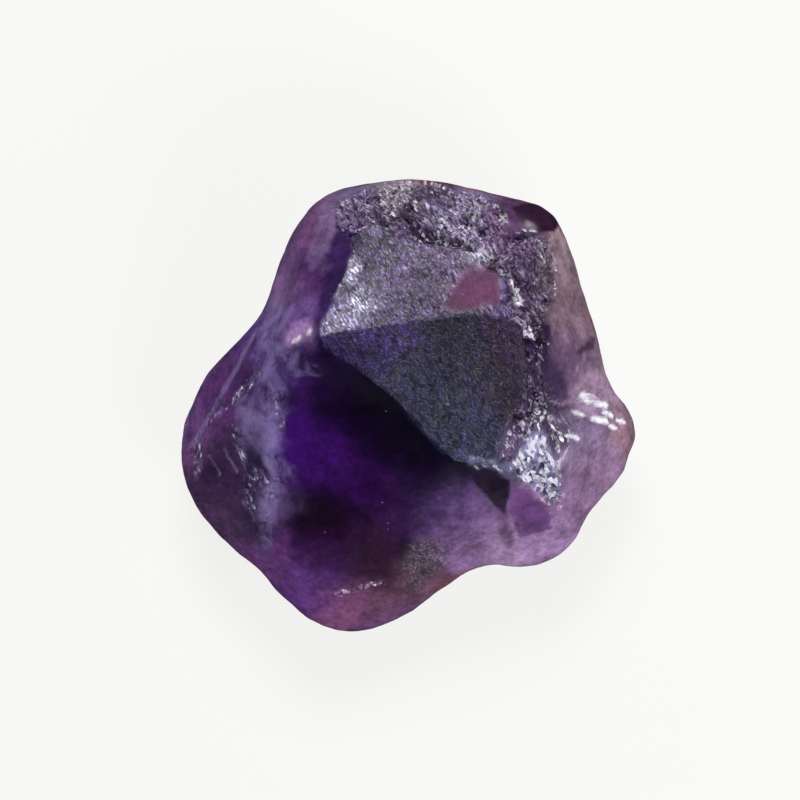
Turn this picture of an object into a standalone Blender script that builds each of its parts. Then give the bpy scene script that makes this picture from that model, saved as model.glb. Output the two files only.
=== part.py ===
"""A rough amethyst chunk, broken from a larger crystal, as one closed solid.

The stone starts as a rounded lump that follows its plan outline. Flat crystal faces and breaks are then
cut from it one by one, and the curved flake scars that quartz leaves where it chips are hollowed out last.
Metres, +Z up, resting on its broken base at z = 0, with the plan's middle at the origin.
"""

import math
from dataclasses import dataclass

import bmesh
import bpy
import numpy as np
from mathutils import Matrix, Vector

MM = 0.001

GIRDLE_HEIGHT = 8.5  # mm, where the stone is widest
CROWN_HEIGHT = 18.0  # mm, of the uncut lump above the girdle
PAVILION_DEPTH = 16.0  # mm, of the uncut lump below the girdle, nearly half of which the base cuts off
ROUNDNESS = 2.2  # power of the lump's section: 2 is an ellipse, and more is squarer
SEGMENTS_ROUND = 84
SEGMENTS_UP = 26
CUTTER_EDGE = 1.8  # mm, roughly the longest edge of a flake scar's facets
ICOSAHEDRON_EDGE = 1.05  # of its radius, before each subdivision halves it

# The plan outline at the girdle, in mm, anticlockwise from the eastern tip.
OUTLINE = [
    (22.9, -2.7), (21.8, -0.3), (19.9, 2.2), (18.9, 6.4), (17.6, 10.5), (16.3, 15.0), (15.0, 18.2),
    (13.2, 19.9), (10.5, 20.4), (7.0, 21.3), (3.0, 22.2), (-1.0, 22.3), (-5.2, 21.7), (-8.6, 20.4),
    (-10.8, 18.0), (-12.5, 14.6), (-13.7, 11.0), (-14.8, 8.9), (-17.3, 6.0), (-19.9, 3.3), (-22.1, 0.4),
    (-23.0, -3.4), (-22.0, -8.0), (-20.2, -11.7), (-17.3, -14.6), (-14.6, -16.8), (-12.7, -19.0),
    (-10.4, -21.0), (-8.0, -22.4), (-4.6, -22.8), (-0.9, -21.7), (3.3, -18.5), (6.9, -16.2), (9.0, -16.0),
    (11.6, -16.2), (14.4, -15.5), (16.5, -13.5), (18.1, -10.9), (19.7, -9.0), (21.6, -7.2), (22.0, -5.0),
]
POINTS_PER_SPAN = 12

SUMMIT = (-8.5, 6.3, 23.0)  # mm, the corner where the three largest crown faces meet


@dataclass(frozen=True)
class Face:
    """A flat face: a point on it in mm, the way it looks (0 east, 90 north), and its tilt from level."""

    name: str
    through: tuple
    azimuth: float
    tilt: float


@dataclass(frozen=True)
class Scar:
    """A flake scar: a ball of this radius in mm sunk to this depth at a point of the surface."""

    name: str
    at: tuple
    azimuth: float
    tilt: float
    radius: float
    depth: float


CROWN_FACES = [
    Face("frosted_north_face", SUMMIT, 92, 21.8),
    Face("north_face_corner", (4.2, 8.9, 22.35), 66, 16.5),
    Face("frosted_crown_face", SUMMIT, 297, 8.6),
    Face("glassy_south_west_break", SUMMIT, 248, 23.3),
    Face("north_west_band", SUMMIT, 143, 45.0),
    Face("north_west_flank", (-11.8, 8.0, 19.0), 163, 59.2),
    Face("west_lobe_top", (-13.6, -6.3, 16.9), 207, 36.6),
    Face("west_lobe_band", (-18.6, -2.0, 13.8), 174, 43.7),
    Face("west_lobe_south", (-18.0, -9.0, 13.4), 223, 51.1),
    Face("south_break", (6.5, -5.8, 20.1), 270, 33.0),
    Face("south_rim", (0.0, -16.6, 13.8), 286, 52.4),
    Face("south_toe", (-8.5, -17.2, 13.8), 261, 43.9),
    Face("east_lobe_top", (9.0, -5.6, 19.9), 326, 36.8),
    Face("east_lobe_south", (11.5, -8.6, 17.0), 287, 46.2),
    Face("east_lobe_tip", (18.5, -5.5, 12.8), 333, 48.2),
    Face("east_shoulder", (12.6, 3.0, 20.4), 0, 35.0),
    Face("east_flank", (14.6, 4.0, 18.4), 14, 58.3),
    Face("north_east_corner", (9.5, 17.0, 17.9), 66, 53.8),
    Face("north_rim", (-2.0, 18.2, 17.9), 90, 47.7),
    Face("north_west_corner", (-7.5, 17.0, 18.0), 122, 56.8),
]

UNDER_FACES = [
    Face("resting_base", (0.0, 0.0, 0.0), 0, 180.0),
    Face("under_west", (-22.8, -4.6, 6.8), 186, 124.0),
    Face("under_south_west", (-17.0, -14.4, 6.6), 230, 120.0),
    Face("under_south", (-4.2, -22.8, 6.6), 262, 126.0),
    Face("under_south_east", (12.2, -16.1, 6.4), 300, 121.0),
    Face("under_east", (22.8, -2.9, 6.8), 346, 129.0),
    Face("under_east_flank", (18.7, 7.2, 6.2), 21, 114.0),
    Face("under_north_east", (14.4, 18.8, 6.6), 54, 121.0),
    Face("under_north", (-1.0, 22.2, 6.8), 93, 117.0),
    Face("under_north_west", (-12.7, 14.2, 6.4), 148, 113.0),
]

SCARS = [
    Scar("south_west_window", (-8.2, -4.6, 18.5), 248, 23.3, 42.0, 1.0),
    Scar("north_ledge_west", (-6.5, 19.0, 17.6), 96, 45.0, 13.0, 1.3),
    Scar("north_ledge", (2.0, 18.6, 18.2), 84, 42.0, 16.0, 1.7),
    Scar("north_ledge_east", (9.0, 16.2, 18.6), 55, 40.7, 11.0, 1.6),
    Scar("east_chip_upper", (12.8, 11.0, 19.0), 18, 43.5, 12.0, 1.5),
    Scar("east_chip_middle", (14.0, 4.6, 18.8), 0, 50.0, 9.0, 1.2),
    Scar("east_chip_lower", (13.2, 0.6, 19.4), 337, 37.0, 7.0, 0.9),
    Scar("east_lobe_chip", (12.0, -3.6, 18.4), 328, 33.0, 9.0, 0.8),
    Scar("east_tip_chip", (17.5, -1.5, 15.0), 36, 40.7, 8.0, 1.0),
    Scar("south_chip", (8.3, -8.6, 18.2), 283, 42.7, 7.0, 0.5),
    Scar("south_east_window", (12.6, -11.6, 14.2), 281, 45.6, 12.0, 0.6),
    Scar("west_notch", (-16.2, 6.9, 13.6), 135, 59.5, 14.0, 0.9),
    Scar("west_lobe_scar", (-17.0, -5.0, 14.6), 207, 36.6, 14.0, 0.6),
    Scar("under_west_scar", (-17.0, 5.1, 3.3), 148, 113.0, 9.0, 0.8),
    Scar("under_bay_scar", (5.0, -15.9, 3.5), 300, 112.0, 9.0, 0.9),
    Scar("under_north_scar", (4.0, 20.1, 2.8), 88, 117.0, 11.0, 0.8),
    Scar("under_east_scar", (17.0, 6.9, 3.0), 21, 114.0, 8.0, 0.7),
]


def outward(azimuth, tilt):
    """The unit normal of a face that looks along azimuth, tilted this far from level, in degrees."""
    a, t = math.radians(azimuth), math.radians(tilt)
    return Vector((math.sin(t) * math.cos(a), math.sin(t) * math.sin(a), math.cos(t)))


def smooth_outline(points, per_span):
    """A closed Catmull-Rom curve through the points, as an array with per_span points for each."""
    corners = np.array(points)
    before, after = np.roll(corners, 1, axis=0), np.roll(corners, -1, axis=0)
    beyond = np.roll(corners, -2, axis=0)
    spans = []
    for t in np.arange(per_span) / per_span:
        line = 2 * corners + (after - before) * t
        bend = (2 * before - 5 * corners + 4 * after - beyond) * t**2
        twist = (3 * corners - before - 3 * after + beyond) * t**3
        spans.append((line + bend + twist) / 2)
    return np.stack(spans, axis=1).reshape(-1, 2)


def outline_radius(angles):
    """How far the plan outline is from the middle, in mm, along each of these angles."""
    curve = smooth_outline(OUTLINE, POINTS_PER_SPAN)
    around = np.arctan2(curve[:, 1], curve[:, 0])
    return np.interp(angles, around, np.hypot(curve[:, 0], curve[:, 1]), period=2 * math.pi)


def rounded_lump():
    """A ball whose girdle is the plan outline and whose section is a squared ellipse, as a bmesh in mm."""
    bm = bmesh.new()
    bmesh.ops.create_uvsphere(bm, u_segments=SEGMENTS_ROUND, v_segments=SEGMENTS_UP, radius=1.0)
    for vertex in bm.verts:
        x, y, up = vertex.co
        angle = math.atan2(y, x)
        share = math.hypot(x, y) ** (2 / ROUNDNESS)
        reach = share * float(outline_radius(angle))
        depth = CROWN_HEIGHT if up > 0 else PAVILION_DEPTH
        height = GIRDLE_HEIGHT + math.copysign(abs(up) ** (2 / ROUNDNESS), up) * depth
        vertex.co = (reach * math.cos(angle), reach * math.sin(angle), height)
    return bm


def cut_face(bm, face):
    """Splits off all that lies outside the face, and closes the cut with flat triangles."""
    everything = bm.verts[:] + bm.edges[:] + bm.faces[:]
    bmesh.ops.bisect_plane(
        bm,
        geom=everything,
        dist=1e-6,
        plane_co=face.through,
        plane_no=outward(face.azimuth, face.tilt),
        clear_outer=True,
    )
    rim = [edge for edge in bm.edges if edge.is_boundary]
    lid = bmesh.ops.holes_fill(bm, edges=rim, sides=0)["faces"]
    bmesh.ops.triangulate(bm, faces=lid)


def scar_cutter(scar, collection):
    """The ball that leaves this flake scar, as a hidden cutter."""
    halvings = math.log2(ICOSAHEDRON_EDGE * scar.radius / CUTTER_EDGE)
    toward = outward(scar.azimuth, scar.tilt)
    middle = Vector(scar.at) + toward * (scar.radius - scar.depth)
    bm = bmesh.new()
    bmesh.ops.create_icosphere(bm, subdivisions=1 + round(halvings), radius=scar.radius)
    mesh = bpy.data.meshes.new(scar.name)
    bm.to_mesh(mesh)
    bm.free()
    # Each ball is turned towards its scar, so that no two meet facet on facet.
    turn = toward.to_track_quat("Z", "Y").to_matrix().to_4x4()
    mesh.transform(Matrix.Scale(MM, 4) @ Matrix.Translation(middle) @ turn)
    cutter = bpy.data.objects.new(scar.name, mesh)
    cutter.hide_render = True
    cutter.display_type = "WIRE"
    collection.objects.link(cutter)
    return cutter


def quartz_material():
    """Amethyst: violet quartz, with the wet gloss of a fresh break."""
    material = bpy.data.materials.new("amethyst")
    material.use_nodes = True
    shader = material.node_tree.nodes["Principled BSDF"]
    shader.inputs["Base Color"].default_value = (0.085, 0.035, 0.13, 1.0)
    shader.inputs["Roughness"].default_value = 0.28
    shader.inputs["Metallic"].default_value = 0.0
    shader.inputs["IOR"].default_value = 1.544
    return material


def stone_object(collection):
    """The lump with its flat faces cut, in metres."""
    bm = rounded_lump()
    for face in CROWN_FACES + UNDER_FACES:
        cut_face(bm, face)
    bmesh.ops.recalc_face_normals(bm, faces=bm.faces[:])
    bmesh.ops.scale(bm, vec=(MM, MM, MM), verts=bm.verts[:])
    mesh = bpy.data.meshes.new("amethyst")
    bm.to_mesh(mesh)
    bm.free()
    mesh.materials.append(quartz_material())
    stone = bpy.data.objects.new("amethyst", mesh)
    collection.objects.link(stone)
    return stone


def middle_on_origin(stone, cutters):
    """Moves the stone and its cutters together, so that its box stands on the origin."""
    bpy.context.view_layer.update()
    finished = stone.evaluated_get(bpy.context.evaluated_depsgraph_get())
    corners = np.array([finished.matrix_world @ Vector(corner) for corner in finished.bound_box])
    low, high = corners.min(axis=0), corners.max(axis=0)
    shift = Vector((-(low[0] + high[0]) / 2, -(low[1] + high[1]) / 2, -low[2]))
    for obj in [stone, *cutters]:
        obj.data.transform(Matrix.Translation(shift))


def main():
    for obj in list(bpy.data.objects):
        bpy.data.objects.remove(obj)
    stone_parts = bpy.data.collections.new("rough_amethyst")
    cutter_parts = bpy.data.collections.new("flake_cutters")
    bpy.context.scene.collection.children.link(stone_parts)
    bpy.context.scene.collection.children.link(cutter_parts)
    stone = stone_object(stone_parts)
    cutters = [scar_cutter(scar, cutter_parts) for scar in SCARS]
    for cutter in cutters:
        flake = stone.modifiers.new(cutter.name, "BOOLEAN")
        flake.operation = "DIFFERENCE"
        flake.object = cutter
    middle_on_origin(stone, cutters)


main()
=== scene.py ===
"""Looks of a rough amethyst chunk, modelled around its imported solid.

The stone is one piece of violet quartz. Its looks are those of a copy of the solid, remeshed finely,
worked over with chips, etch lines and ripples, and coloured from a deep violet heart to thin mauve edges.
Places are in millimetres in the solid's own frame: x east, y north, z up, with the base at z = 0.
"""

import logging
import math
from collections.abc import Callable
from dataclasses import dataclass, field
from enum import Enum
from functools import partial

import bpy
import numpy as np
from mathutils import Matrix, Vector, kdtree, noise

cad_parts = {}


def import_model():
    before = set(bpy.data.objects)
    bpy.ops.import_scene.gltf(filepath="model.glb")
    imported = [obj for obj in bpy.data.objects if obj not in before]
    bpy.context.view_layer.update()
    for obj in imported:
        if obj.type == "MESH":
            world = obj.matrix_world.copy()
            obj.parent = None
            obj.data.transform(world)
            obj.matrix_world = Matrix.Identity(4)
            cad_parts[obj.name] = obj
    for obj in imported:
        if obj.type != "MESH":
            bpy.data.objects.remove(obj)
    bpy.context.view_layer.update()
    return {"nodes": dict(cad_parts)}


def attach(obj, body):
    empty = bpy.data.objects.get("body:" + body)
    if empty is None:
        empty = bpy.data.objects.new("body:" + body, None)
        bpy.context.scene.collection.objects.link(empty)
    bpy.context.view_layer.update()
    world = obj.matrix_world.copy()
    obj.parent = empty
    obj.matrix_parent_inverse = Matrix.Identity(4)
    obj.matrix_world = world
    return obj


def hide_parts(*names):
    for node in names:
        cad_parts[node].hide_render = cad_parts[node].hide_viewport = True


MM = 0.001

Point = tuple[float, float]

log = logging.getLogger("amethyst")


# -------------------- small helpers


def linear(colour: str) -> tuple[float, float, float, float]:
    """Turns an sRGB hex colour into linear light.

    Args:
        colour: The colour as "#rrggbb".

    Returns:
        Red, green, blue and an alpha of 1.
    """
    shares = [int(colour[i : i + 2], 16) / 255 for i in (1, 3, 5)]
    light = [s / 12.92 if s <= 0.04045 else ((s + 0.055) / 1.055) ** 2.4 for s in shares]
    return (*light, 1.0)


def add_node(
    tree: bpy.types.NodeTree,
    kind: str,
    links: dict[str | int, object] | None = None,
    output: str | int = 0,
    **settings: object,
) -> bpy.types.NodeSocket | None:
    """Adds a node with its settings and links.

    Args:
        tree: The node tree that takes it.
        kind: The node's type, without the words that all shader nodes start with.
        links: For each input, by name or number, the socket that feeds it or its fixed value.
        output: The name or number of the output that is wanted.
        settings: The node's own properties.

    Returns:
        That output of the new node, or nothing if it has none.
    """
    node = tree.nodes.new("ShaderNode" + kind)
    for name, value in settings.items():
        setattr(node, name, value)
    for key, value in (links or {}).items():
        if isinstance(value, bpy.types.NodeSocket):
            tree.links.new(value, node.inputs[key])
        else:
            node.inputs[key].default_value = value
    return node.outputs[output] if node.outputs else None


def smooth_step(low: float, high: float, values: np.ndarray) -> np.ndarray:
    """Rises from 0 at low to 1 at high, level at both ends."""
    share = np.clip((values - low) / (high - low), 0, 1)
    return share * share * (3 - 2 * share)


def outward(azimuth: float, tilt: float) -> np.ndarray:
    """Gives the unit normal of a face from the direction it looks in and its tilt, both in degrees."""
    a, t = math.radians(azimuth), math.radians(tilt)
    return np.array((math.sin(t) * math.cos(a), math.sin(t) * math.sin(a), math.cos(t)))


def cloud(points: np.ndarray, size: float, octaves: int = 4, shift: float = 0.0) -> np.ndarray:
    """Fractal noise at each point.

    Args:
        points: Places in mm.
        size: The size of its largest lumps, in mm.
        octaves: How many times it halves in scale.
        shift: Moves the pattern, so that two of one size differ.

    Returns:
        Values of about -1 to 1.
    """
    places = points / size + shift
    return np.array([noise.fractal(p, 0.9, 2.0, octaves) for p in places])


def along_grain(points: np.ndarray, azimuth: float, stretch: float) -> np.ndarray:
    """Squeezes places along a plan direction, so that a pattern read from them is drawn out along it.

    Args:
        points: Places in mm.
        azimuth: The direction, in degrees from east towards north.
        stretch: How many times longer the pattern gets.

    Returns:
        The squeezed places.
    """
    a = math.radians(azimuth)
    along = np.array((math.cos(a), math.sin(a), 0.0))
    return points - np.outer(points @ along, along) * (1 - 1 / stretch)


# -------------------- places on the stone


@dataclass(frozen=True)
class Facet:
    """A flat face of the stone.

    Attributes:
        through: A point on it, in mm.
        azimuth: The plan direction it looks in, in degrees from east towards north.
        tilt: How far it is from level, in degrees.
    """

    through: tuple[float, float, float]
    azimuth: float
    tilt: float

    def cover(self, points: np.ndarray, depth: float = 0.16) -> np.ndarray:
        """Says how far each point belongs to the face: 1 on it, and 0 from this depth in mm below it."""
        gap = (points - np.array(self.through)) @ outward(self.azimuth, self.tilt)
        return smooth_step(-depth, -0.25 * depth, gap)

    def trim(self, points: np.ndarray) -> np.ndarray:
        """Moves the points that stand out of the face onto it, as a clean break there would."""
        way = outward(self.azimuth, self.tilt)
        return points - np.outer(np.clip((points - np.array(self.through)) @ way, 0, None), way)


@dataclass(frozen=True)
class Patch:
    """An area of the crown with a drawn outline, in plan.

    Attributes:
        corners: Its outline's corners in mm.
        edge: How far its edge fades to each side of the outline, in mm.
    """

    corners: tuple[Point, ...]
    edge: float = 0.3

    def cover(self, plan: np.ndarray) -> np.ndarray:
        """Says how far each plan place is inside.

        Args:
            plan: The plan places in mm.

        Returns:
            1 well inside, a half on the outline, and 0 outside.
        """
        ring = np.array(self.corners)
        reach = np.full(len(plan), np.inf)
        inside = np.zeros(len(plan), bool)
        for start, end in zip(ring, np.roll(ring, -1, axis=0), strict=True):
            side = end - start
            share = np.clip((plan - start) @ side / (side @ side), 0, 1)
            reach = np.minimum(reach, np.linalg.norm(plan - start - np.outer(share, side), axis=1))
            spans = (start[1] > plan[:, 1]) != (end[1] > plan[:, 1])
            crossing = start[0] + (plan[:, 1] - start[1]) * side[0] / (side[1] or 1e-9)
            inside ^= spans & (plan[:, 0] < crossing)
        return smooth_step(-self.edge, self.edge, np.where(inside, reach, -reach))


@dataclass(frozen=True)
class Stroke:
    """A line drawn over the crown in plan, with soft sides.

    Attributes:
        line: Its points in mm.
        width: How far it reaches to each side, in mm.
    """

    line: tuple[Point, ...]
    width: float

    def cover(self, plan: np.ndarray) -> np.ndarray:
        """Says how near each plan place is to the line.

        Args:
            plan: The plan places in mm.

        Returns:
            1 on the line, and 0 from its width away.
        """
        reach = np.full(len(plan), np.inf)
        for start, end in zip(self.line, self.line[1:], strict=False):
            side = np.subtract(end, start)
            share = np.clip((plan - start) @ side / (side @ side), 0, 1)
            reach = np.minimum(reach, np.linalg.norm(plan - start - np.outer(share, side), axis=1))
        return 1 - smooth_step(0.25 * self.width, self.width, reach)


class Edge(Enum):
    """How far the sides of something drawn stray from its points, in mm."""

    EXACT = 0.0
    CRISP = 0.12
    BROKEN = 0.2
    CLOSE = 0.35
    LOOSE = 0.9


@dataclass(frozen=True)
class Wash:
    """A colour laid over the others wherever something is drawn.

    Attributes:
        name: What it shows.
        colour: The colour as "#rrggbb".
        share: How much of what lies below it hides, from 0 to 1.
        drawn: The areas and lines that it fills.
        edge: How far their sides stray.
        within: The zone that it stays in.
    """

    name: str
    colour: str
    share: float
    drawn: tuple[Patch | Stroke, ...]
    edge: Edge = Edge.CLOSE
    within: str = "upward"


@dataclass(frozen=True)
class Tint:
    """What colour the quartz shows around one plan place of its surface.

    Attributes:
        name: What is there.
        at: The place in mm.
        reach: How far the colour counts, in mm.
        colour: The colour as "#rrggbb".
    """

    name: str
    at: Point
    reach: float
    colour: str


SUMMIT = (-8.43, 6.53, 23.0)

NORTH_FACE = Facet(SUMMIT, 92, 21.8)
NORTH_CORNER = Facet((4.27, 9.13, 22.35), 66, 16.5)
CROWN_FACE = Facet(SUMMIT, 297, 8.6)
SHADED_BREAK = Facet((-5.6, 13.4, 20.29), 126, 35.2)

NORTH_HACKLE = Patch(
    (
        (-7.0, 19.9), (-4.1, 21.4), (0.2, 22.2), (4.1, 21.7), (8.0, 20.5), (9.4, 18.4), (9.8, 16.0),
        (10.3, 13.0), (8.9, 11.9), (6.9, 13.4), (5.3, 14.4), (3.1, 15.4), (0.3, 16.2), (-2.2, 16.0),
        (-5.5, 16.2), (-7.0, 17.6),
    ),
    0.5,
)
EAST_HACKLE = Patch(
    (
        (9.2, 17.0), (10.9, 16.8), (13.9, 16.3), (14.8, 14.0), (13.9, 10.3), (12.6, 7.2), (13.9, 5.2),
        (12.8, 3.5), (13.8, 1.4), (14.7, 0.1), (12.7, -2.2), (9.8, -1.8), (10.4, 1.1), (10.9, 4.4),
        (9.9, 6.7), (8.8, 9.6), (8.4, 11.9), (8.2, 13.8),
    ),
    0.4,
)
LOBE_HACKLE = Patch(
    (
        (9.2, -2.2), (11.6, -0.8), (14.7, 0.6), (17.9, 0.8), (21.1, -0.6), (22.0, -1.9), (18.8, -2.5),
        (15.6, -3.2), (14.4, -4.4), (15.2, -8.1), (14.9, -9.8), (13.3, -9.2), (10.8, -6.8), (9.3, -5.5),
        (6.7, -6.0), (5.9, -4.9), (8.8, -4.4),
    ),
    0.35,
)
GLINT_CLUSTER = Patch(
    (
        (9.6, -6.0), (10.9, -4.0), (12.1, -2.4), (13.1, -2.6), (14.0, -4.2), (14.9, -6.9), (15.0, -8.4),
        (14.3, -9.6), (12.6, -8.0), (11.2, -7.4),
    ),
    0.3,
)
DARK_FACET = Patch(
    (
        (5.7, -5.7), (6.6, -5.9), (8.2, -6.1), (9.7, -6.9), (9.9, -8.4), (9.3, -10.4), (8.2, -9.3),
        (6.4, -7.4),
    ),
    0.12,
)
VIOLET_FACET = Patch(
    ((9.8, -7.9), (11.8, -8.0), (13.6, -9.7), (14.2, -11.9), (11.0, -12.9), (9.9, -10.1)), 0.14
)
NORTH_EAST_WINDOW = Patch(
    ((10.0, 19.4), (12.2, 20.1), (14.3, 19.8), (15.2, 18.2), (14.3, 17.0), (12.6, 16.8), (11.2, 17.8)),
    0.2,
)
RED_WINDOW = Patch(
    (
        (3.2, 9.6), (4.0, 11.0), (5.0, 12.6), (6.4, 13.4), (7.8, 13.4), (8.6, 12.4), (8.9, 10.6),
        (8.7, 9.4), (7.0, 9.3), (5.0, 9.0),
    ),
    0.5,
)
SOUTH_FROST = Patch(
    ((-0.6, -16.1), (0.2, -13.8), (1.7, -13.1), (4.0, -13.8), (3.7, -15.6), (2.2, -17.2), (0.5, -18.2)),
    0.9,
)
WEST_CHIPS = (
    Stroke(((-17.0, -2.4), (-16.4, -5.2), (-15.6, -6.8), (-15.0, -9.8)), 0.8),
    Stroke(((-15.8, -6.2), (-14.4, -7.6), (-13.2, -8.6)), 0.9),
    Stroke(((-13.0, 1.2), (-12.4, -0.2), (-11.8, -1.8)), 0.6),
    Stroke(((-14.2, 3.2), (-13.2, 2.3)), 0.6),
    Stroke(((-14.9, 5.6), (-14.6, 3.8)), 0.4),
)
HAIRLINES = (
    Stroke(((-17.9, -4.2), (-16.8, -6.3)), 0.16),
    Stroke(((-19.4, -4.9), (-18.4, -6.7)), 0.16),
    Stroke(((-15.1, 7.0), (-17.7, 2.2), (-20.2, -2.2), (-21.6, -4.0)), 0.35),
)

# A crevice, cut into the relief by crevice_depth and also painted dark as its shadow.
CREVICE = Stroke(
    ((1.2, 17.1), (1.9, 16.7), (3.6, 16.2), (5.3, 15.7), (6.9, 15.1), (8.2, 14.0), (9.4, 12.8)), 0.8
)
# Painted shadow: a dark line along the fold north of the frosted face, where shade falls.
FOLD_SHADOW = Stroke(((-4.6, 18.3), (-1.8, 18.4), (0.8, 19.6)), 0.8)
SEAM = Stroke(((9.2, -9.4), (9.3, -11.2), (9.9, -13.2)), 0.9)
SILVER = Patch(
    ((1.6, 19.4), (3.6, 20.3), (6.6, 19.6), (7.4, 17.4), (6.0, 16.2), (4.0, 16.8), (2.4, 17.4)), 1.0
)
WEST_RIDGE = Stroke(
    ((-14.8, 2.5), (-16.8, 1.1), (-18.5, -0.1), (-19.4, -1.3), (-20.7, -3.3), (-20.8, -6.6)), 0.7
)
VEILS = (
    Stroke(((-12.6, 9.0), (-13.2, 6.4), (-12.9, 3.4), (-13.2, 1.0), (-13.6, -1.0)), 2.4),
    Stroke(((-15.9, 0.2), (-14.9, -1.8), (-13.8, -4.2), (-12.8, -5.8), (-12.2, -7.1)), 1.6),
    Stroke(((-12.2, -7.2), (-13.4, -8.6), (-13.6, -10.0), (-13.9, -12.2)), 1.5),
    Stroke(((-13.8, -12.4), (-14.2, -13.8), (-14.0, -15.1)), 1.0),
    Stroke(((-11.8, 5.6), (-10.4, 4.2), (-9.2, 3.4)), 1.1),
)
HAZE = Stroke(((-7.5, 19.0), (-7.9, 16.4), (-8.3, 13.6)), 1.3)
RIM_GLOWS = (
    Stroke(((-1.5, 22.4), (2.4, 22.4), (5.8, 21.7), (9.0, 21.0), (11.6, 20.5)), 0.9),
    Stroke(((17.9, 12.6), (18.7, 8.6), (19.8, 4.6)), 0.9),
    Stroke(((3.2, -18.2), (5.8, -16.7), (7.6, -16.3), (10.0, -16.9)), 0.9),
)
# Painted highlight: a pale pinkish patch on the small chip near the summit.
CHIP_HIGHLIGHT = Stroke(((-10.8, 6.5), (-10.0, 7.0), (-9.4, 7.2)), 1.3)
CHIP_GLINTS = (
    Stroke(((-10.6, 6.2), (-10.1, 6.5)), 0.3),
    Stroke(((-9.3, 6.9), (-9.1, 7.2)), 0.3),
)
LEDGE = Stroke(((6.2, -5.1), (7.8, -5.4), (9.6, -5.9)), 0.7)
# Painted glint: a near-white stripe where a slender facet mirrors the light.
SLIVER = Stroke(((10.1, 11.9), (11.1, 10.1)), 0.36)
STRIPED_SLIVER = Stroke(((10.7, 8.4), (11.7, 7.4), (12.8, 6.0)), 0.7)
WAVE_GLINTS = (
    Stroke(((17.0, 1.1), (18.1, 0.6)), 0.45),
    Stroke(((18.7, 0.3), (19.5, 0.1)), 0.35),
    Stroke(((19.3, -0.6), (20.2, -0.9)), 0.35),
    Stroke(((18.2, -1.2), (19.5, -1.5)), 0.45),
    Stroke(((20.8, -1.3), (21.4, -1.6)), 0.25),
    Stroke(((19.8, -1.8), (20.6, -2.1)), 0.25),
    Stroke(((16.6, -0.4), (17.2, -0.8)), 0.3),
    Stroke(((14.3, -2.1), (15.1, -2.5)), 0.35),
    Stroke(((15.7, -2.7), (16.5, -3.1)), 0.35),
    Stroke(((13.9, -0.7), (14.5, -1.1)), 0.3),
)
CRESCENT = Stroke(((17.9, 6.7), (17.6, 5.8), (16.6, 5.1)), 0.55)
NAVY_FIBRES = (
    Stroke(((1.6, -1.2), (4.6, -4.4)), 0.3),
    Stroke(((3.2, -2.0), (4.9, -4.0)), 0.22),
    Stroke(((0.2, -0.9), (3.4, -4.6)), 0.22),
    Stroke(((4.6, -2.6), (6.0, -4.6)), 0.25),
)
SHADED_WEDGE = Patch(
    (
        (-8.6, 6.7), (-8.3, 10.1), (-7.5, 14.8), (-6.9, 17.6), (-5.3, 17.6), (-5.3, 14.8), (-5.6, 13.4),
        (-6.8, 10.1),
    ),
    0.4,
)
RIM_CHIPS = Stroke(((-7.4, -18.5), (-6.1, -18.4), (-5.2, -18.2), (-4.5, -17.8), (-2.7, -17.4)), 0.3)
# Painted highlight: near-white patches on the frosted north face, where it catches the light.
FACE_HIGHLIGHTS = (
    Patch(((-6.1, 12.2), (-5.6, 13.6), (-4.2, 13.2), (-4.6, 11.8)), 0.5),
    Patch(((-5.4, 10.5), (-3.4, 11.0), (-2.8, 9.6), (-4.5, 8.9)), 0.8),
)
# Painted highlight: a pale patch at the east end of the frosted face.
FACE_EAST_HIGHLIGHT = Patch(((4.7, 14.2), (5.6, 15.3), (7.0, 15.6), (7.6, 14.8), (6.8, 13.4)), 0.5)
# Painted shade: a greyer, darker patch laid on the frosted north face.
FACE_SHADE = Patch(((-4.5, 15.8), (-1.2, 16.3), (0.2, 14.4), (-1.2, 13.4), (-3.6, 14.1)), 1.2)

# Bands of height in mm, over which the base, the underside, the flanks and the thin rim give way.
FOOT = 0.05  # below which a point is on the flat base and stays there
BASE_BAND = (0.02, 0.5)
UNDER_BAND = (4.5, 7.5)
FLANK_BAND = (5.5, 10.5)
RIM_BAND = (11.5, 14.0)
LOBE_BAND = (14.6, 17.0)  # of x, from the knocked side of the lobe to its waves

# Fractal patterns: the size of their largest lumps in mm, how often that halves, and a shift.
WANDER = (2.6, 4, 0.0)
WANDER_ACROSS = (2.6, 4, 31.0)
UNDERSIDE = (7.0, 3, 77.0)
BANDING = (7.0, 4, 50.0)
ROUGHENING = (8.0, 3, 12.0)
BREAKS = (1.0, 3, 8.0)
GLINTS = (1.5, 2, 60.0)

CLEAR_FACETS = (DARK_FACET, VIOLET_FACET, NORTH_EAST_WINDOW)

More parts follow.
